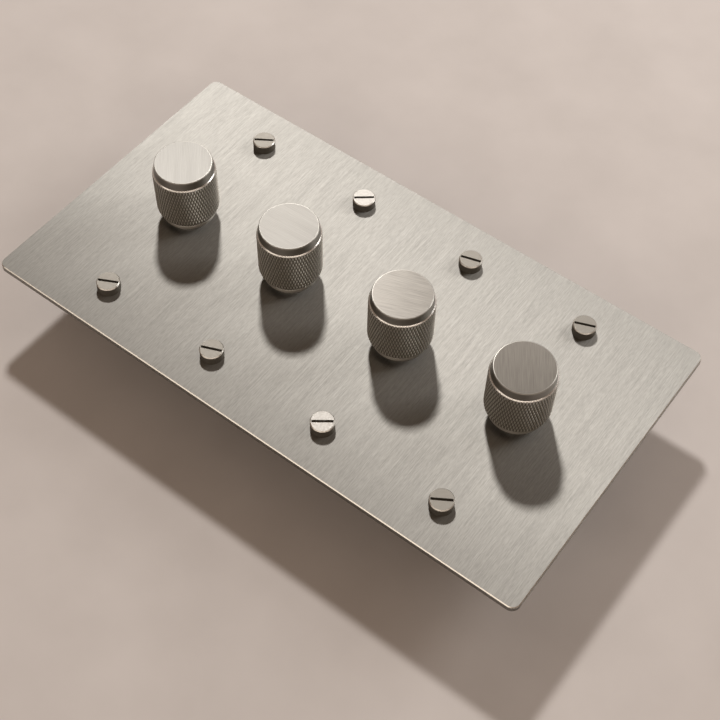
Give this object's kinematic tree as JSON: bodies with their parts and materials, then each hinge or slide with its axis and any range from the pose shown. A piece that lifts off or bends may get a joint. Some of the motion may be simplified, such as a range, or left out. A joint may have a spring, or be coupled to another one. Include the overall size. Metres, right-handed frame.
{
  "type": "four gang rotary dimmer switch",
  "caption": "Rotary dimmer on a flat brushed metal plate: a row of knurled push-and-turn knobs, slotted screws above and below, dimmer modules behind.",
  "frame": {"origin": "middle of the housings' back faces, in line with the plate's middle, at the lowest level", "axes": "+Z out of the face plate towards the user, +X along the plate's long side through the row of knobs, +Y towards the plate's upper long edge"},
  "size_m": [0.213, 0.115, 0.0559],
  "materials": {
    "brushed_nickel": "fine straight brushed, satin",
    "knob_metal": "turned and diamond knurled, satin",
    "screw_metal": "turned, satin",
    "strap_metal": "mill finish",
    "housing_plastic": "moulded, matt",
    "board_laminate": "glass laminate, satin",
    "control_plastic": "moulded, matt",
    "bush_metal": "plated die casting",
    "rotor_plastic": "moulded, satin",
    "shaft_metal": "turned, bright",
    "insert_plastic": "moulded, satin",
    "plunger_plastic": "moulded, satin",
    "spring_metal": "hard rolled strip, bright",
    "chip_plastic": "moulded, with tinned leads",
    "choke_wire": "enamelled winding",
    "terminal_brass": "bright brass",
    "fastener_steel": "zinc plated"
  },
  "bodies": {
    "root": {"face_plate": "brushed_nickel", "mounting_strap_1": "strap_metal", "rear_housing_1": "housing_plastic", "circuit_board_1": "board_laminate", "control_case_1": "control_plastic", "control_bush_1": "bush_metal", "return_spring_1": "spring_metal", "power_transistor_1": "chip_plastic", "choke_coil_1": "choke_wire", "mounting_strap_2": "strap_metal", "rear_housing_2": "housing_plastic", "circuit_board_2": "board_laminate", "control_case_2": "control_plastic", "control_bush_2": "bush_metal", "return_spring_2": "spring_metal", "power_transistor_2": "chip_plastic", "choke_coil_2": "choke_wire", "mounting_strap_3": "strap_metal", "rear_housing_3": "housing_plastic", "circuit_board_3": "board_laminate", "control_case_3": "control_plastic", "control_bush_3": "bush_metal", "return_spring_3": "spring_metal", "power_transistor_3": "chip_plastic", "choke_coil_3": "choke_wire", "mounting_strap_4": "strap_metal", "rear_housing_4": "housing_plastic", "circuit_board_4": "board_laminate", "control_case_4": "control_plastic", "control_bush_4": "bush_metal", "return_spring_4": "spring_metal", "power_transistor_4": "chip_plastic", "choke_coil_4": "choke_wire", "plate_screws": "screw_metal", "housing_screws": "fastener_steel", "terminal_screws": "terminal_brass", "terminal_plates": "terminal_brass", "bush_nuts": "fastener_steel", "bush_washers": "fastener_steel"},
    "plunger_1": {"switch_plunger_1": "plunger_plastic"},
    "knob_1": {"knob_1": "knob_metal", "knob_insert_1": "insert_plastic", "control_shaft_1": "shaft_metal"},
    "wiper_1": {"wiper_rotor_1": "rotor_plastic"},
    "plunger_2": {"switch_plunger_2": "plunger_plastic"},
    "knob_2": {"knob_2": "knob_metal", "knob_insert_2": "insert_plastic", "control_shaft_2": "shaft_metal"},
    "wiper_2": {"wiper_rotor_2": "rotor_plastic"},
    "plunger_3": {"switch_plunger_3": "plunger_plastic"},
    "knob_3": {"knob_3": "knob_metal", "knob_insert_3": "insert_plastic", "control_shaft_3": "shaft_metal"},
    "wiper_3": {"wiper_rotor_3": "rotor_plastic"},
    "plunger_4": {"switch_plunger_4": "plunger_plastic"},
    "knob_4": {"knob_4": "knob_metal", "knob_insert_4": "insert_plastic", "control_shaft_4": "shaft_metal"},
    "wiper_4": {"wiper_rotor_4": "rotor_plastic"}
  },
  "joints": [
    {"name": "push_1", "type": "slide", "parent": "root", "child": "plunger_1", "axis": [0, 0, -1], "range_m": [0, 0.0015], "stiffness_N_per_m": 1500, "springref_m": -0.0015, "deforming": ["return_spring_1"]},
    {"name": "turn_1", "type": "hinge", "parent": "plunger_1", "child": "knob_1", "pos_m": [-0.06906, 0, 0.04], "axis": [0, 0, -1], "range_deg": [0, 280]},
    {"name": "wipe_1", "type": "hinge", "parent": "root", "child": "wiper_1", "pos_m": [-0.06906, 0, 0.0219], "axis": [0, 0, -1], "range_deg": [0, 280]},
    {"name": "push_2", "type": "slide", "parent": "root", "child": "plunger_2", "axis": [0, 0, -1], "range_m": [0, 0.0015], "stiffness_N_per_m": 1500, "springref_m": -0.0015, "deforming": ["return_spring_2"]},
    {"name": "turn_2", "type": "hinge", "parent": "plunger_2", "child": "knob_2", "pos_m": [-0.02302, 0, 0.04], "axis": [0, 0, -1], "range_deg": [0, 280]},
    {"name": "wipe_2", "type": "hinge", "parent": "root", "child": "wiper_2", "pos_m": [-0.02302, 0, 0.0219], "axis": [0, 0, -1], "range_deg": [0, 280]},
    {"name": "push_3", "type": "slide", "parent": "root", "child": "plunger_3", "axis": [0, 0, -1], "range_m": [0, 0.0015], "stiffness_N_per_m": 1500, "springref_m": -0.0015, "deforming": ["return_spring_3"]},
    {"name": "turn_3", "type": "hinge", "parent": "plunger_3", "child": "knob_3", "pos_m": [0.02302, 0, 0.04], "axis": [0, 0, -1], "range_deg": [0, 280]},
    {"name": "wipe_3", "type": "hinge", "parent": "root", "child": "wiper_3", "pos_m": [0.02302, 0, 0.0219], "axis": [0, 0, -1], "range_deg": [0, 280]},
    {"name": "push_4", "type": "slide", "parent": "root", "child": "plunger_4", "axis": [0, 0, -1], "range_m": [0, 0.0015], "stiffness_N_per_m": 1500, "springref_m": -0.0015, "deforming": ["return_spring_4"]},
    {"name": "turn_4", "type": "hinge", "parent": "plunger_4", "child": "knob_4", "pos_m": [0.06906, 0, 0.04], "axis": [0, 0, -1], "range_deg": [0, 280]},
    {"name": "wipe_4", "type": "hinge", "parent": "root", "child": "wiper_4", "pos_m": [0.06906, 0, 0.0219], "axis": [0, 0, -1], "range_deg": [0, 280]}
  ],
  "couplings": [
    {"joint": "wipe_1", "follows": "turn_1", "ratio": 1},
    {"joint": "wipe_2", "follows": "turn_2", "ratio": 1},
    {"joint": "wipe_3", "follows": "turn_3", "ratio": 1},
    {"joint": "wipe_4", "follows": "turn_4", "ratio": 1}
  ]
}
